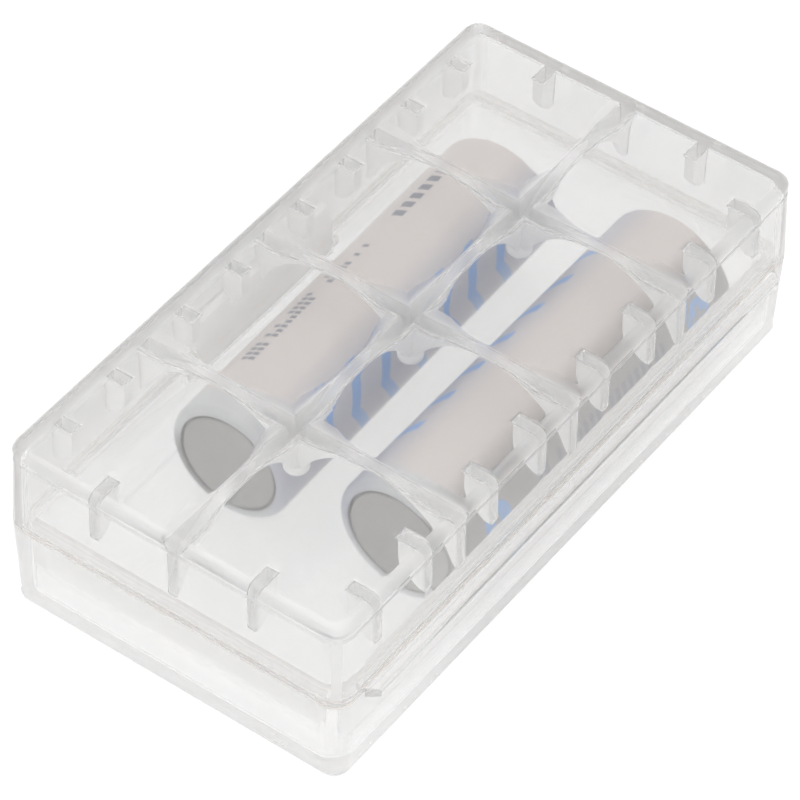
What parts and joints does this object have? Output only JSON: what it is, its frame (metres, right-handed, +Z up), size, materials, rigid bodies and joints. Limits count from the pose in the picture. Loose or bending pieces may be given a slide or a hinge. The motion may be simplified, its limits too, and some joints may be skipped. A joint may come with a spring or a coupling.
{
  "type": "battery case",
  "caption": "Clear frosted plastic hinged box for round cells, with arched ribs under its lid and two loose AA cells inside.",
  "frame": {"origin": "centre of the base's flat underside", "axes": "+X along the case's length, from the end with the cells' flat ends to the end with their raised terminals; +Y towards the hinge side, -Y towards the thumb lip; +Z up through the lid"},
  "size_m": [0.0794, 0.0429, 0.0221],
  "materials": {
    "base_plastic": "translucent frosted polypropylene, satin outside",
    "lid_plastic": "translucent frosted polypropylene, satin outside",
    "steel": "nickel-plated drawn steel",
    "electrode": "dark wound electrode roll",
    "seal": "moulded sealing ring",
    "plug": "soft vent plug",
    "washer": "pressed insulating washer",
    "sleeve": null
  },
  "bodies": {
    "case_base": {"base": "base_plastic"},
    "case_lid": {"lid": "lid_plastic"},
    "back_cell": {"back_cell_can": "steel", "back_cell_electrode_roll": "electrode", "back_cell_seal_ring": "seal", "back_cell_seal_plate": "steel", "back_cell_vent_plug": "plug", "back_cell_terminal": "steel", "back_cell_washer": "washer", "back_cell_sleeve": "sleeve"},
    "front_cell": {"front_cell_can": "steel", "front_cell_electrode_roll": "electrode", "front_cell_seal_ring": "seal", "front_cell_seal_plate": "steel", "front_cell_vent_plug": "plug", "front_cell_terminal": "steel", "front_cell_washer": "washer", "front_cell_sleeve": "sleeve"}
  },
  "joints": [
    {"name": "lid_hinge", "type": "hinge", "parent": "case_base", "child": "case_lid", "pos_m": [0, 0.01963, 0.0096], "axis": [-1, 0, 0], "range_deg": [0, 105]},
    {"name": "back_cell_slide", "type": "slide", "parent": "case_base", "child": "back_cell", "axis": [0.9998, 0.0209, 0], "range_m": [-0.018, 0.0054]},
    {"name": "front_cell_slide", "type": "slide", "parent": "case_base", "child": "front_cell", "axis": [1, 0, 0], "range_m": [-0.02, 0.0034]}
  ]
}
